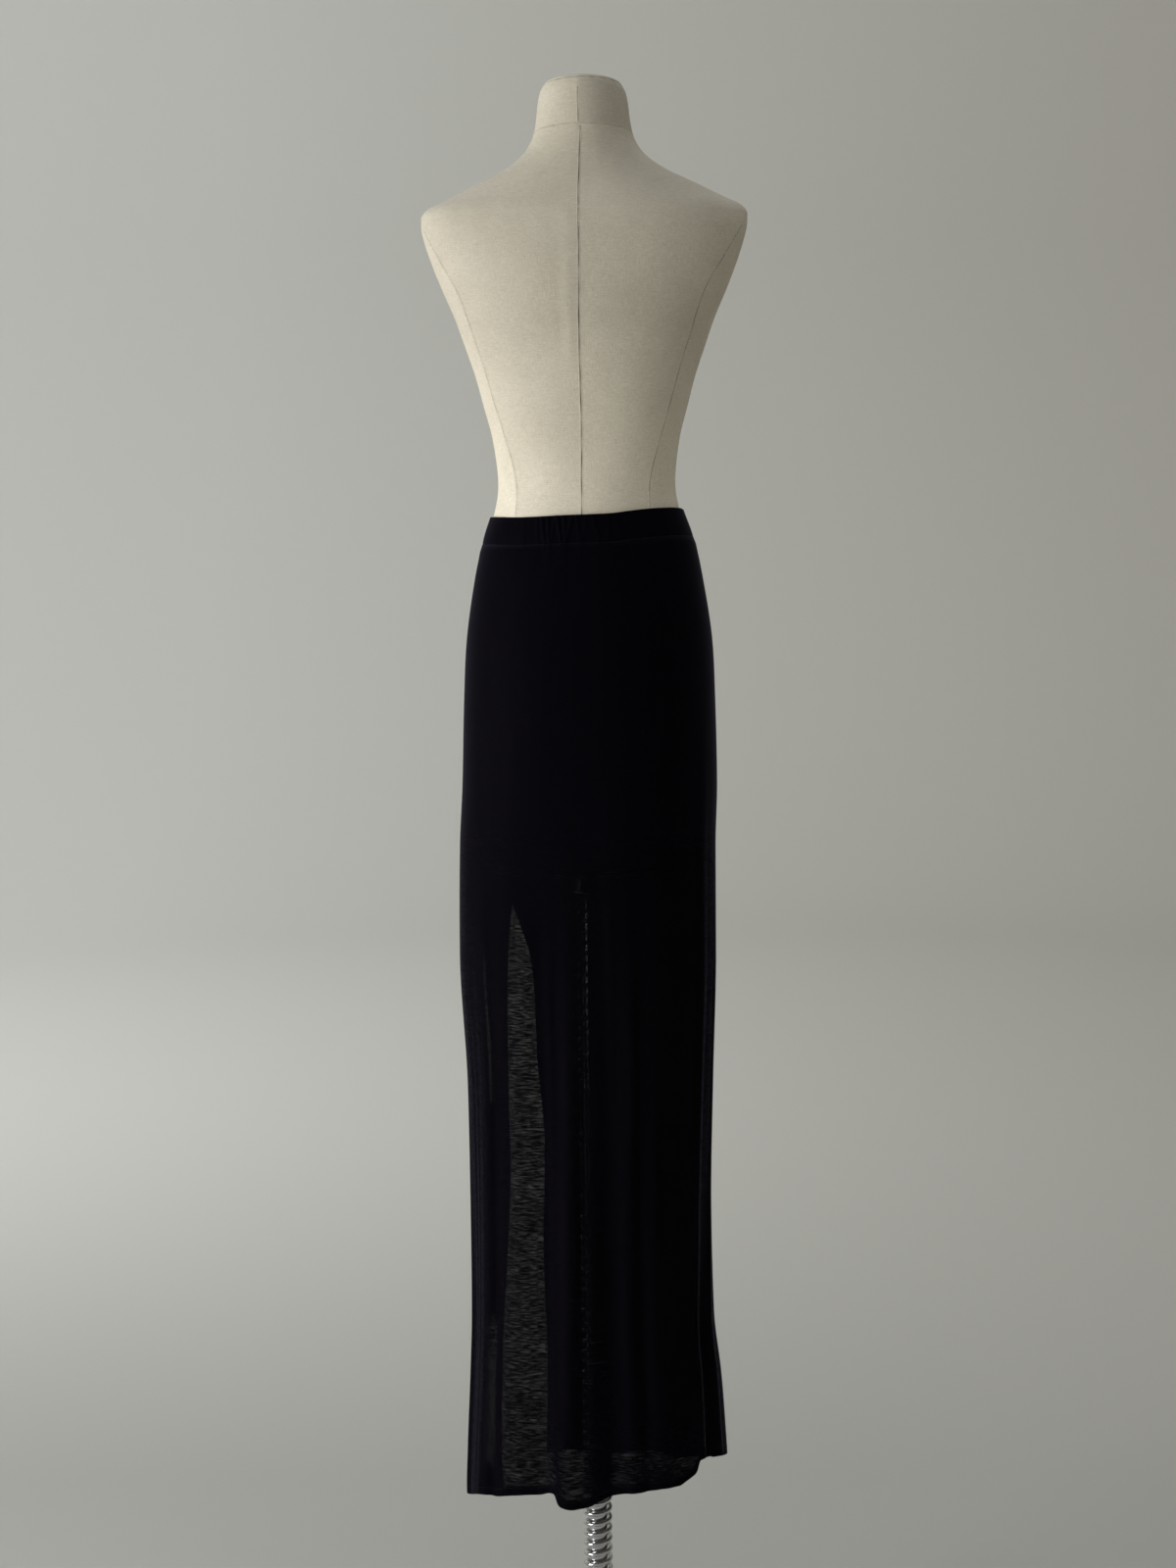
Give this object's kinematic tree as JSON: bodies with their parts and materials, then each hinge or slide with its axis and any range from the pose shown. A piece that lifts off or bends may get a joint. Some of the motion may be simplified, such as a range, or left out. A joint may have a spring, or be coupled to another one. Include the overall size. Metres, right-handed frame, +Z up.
{
  "type": "maxi skirt on a limbless dress form",
  "caption": "Long straight black jersey skirt with an elastic waistband and a front slit, on a limbless dress form with a round-footed metal stand.",
  "frame": {"origin": "centre of the base plate's underside", "axes": "+Z up along the pole; the garment's front faces -Y, its back +Y, the wearer's left is +X"},
  "size_m": [0.4, 0.4, 1.8632],
  "materials": {
    "jersey": "thin matt knit jersey, slightly see-through",
    "canvas": "plain woven linen canvas, matt",
    "chrome": "polished",
    "knob": "satin"
  },
  "bodies": {
    "stand": {"base_plate": "chrome", "boss": "chrome", "pole": "chrome", "coil": "chrome"},
    "clamp": {"collar": "chrome", "thumb_screw": "knob"},
    "form": {"torso": "canvas", "hip_left": "canvas", "hip_back": "canvas", "hip_right": "canvas", "hip_front": "canvas", "neck_cap": "canvas", "waistband": "jersey", "back_panel": "jersey", "front_panel": "jersey", "side_front_panel": "jersey"}
  },
  "joints": [
    {"name": "height", "type": "slide", "parent": "stand", "child": "clamp", "axis": [0, 0, 1], "range_m": [-0.1, 0.1]},
    {"name": "swivel", "type": "hinge", "parent": "clamp", "child": "form", "pos_m": [0, 0, 0.987], "axis": [0, 0, 1], "continuous": true}
  ]
}
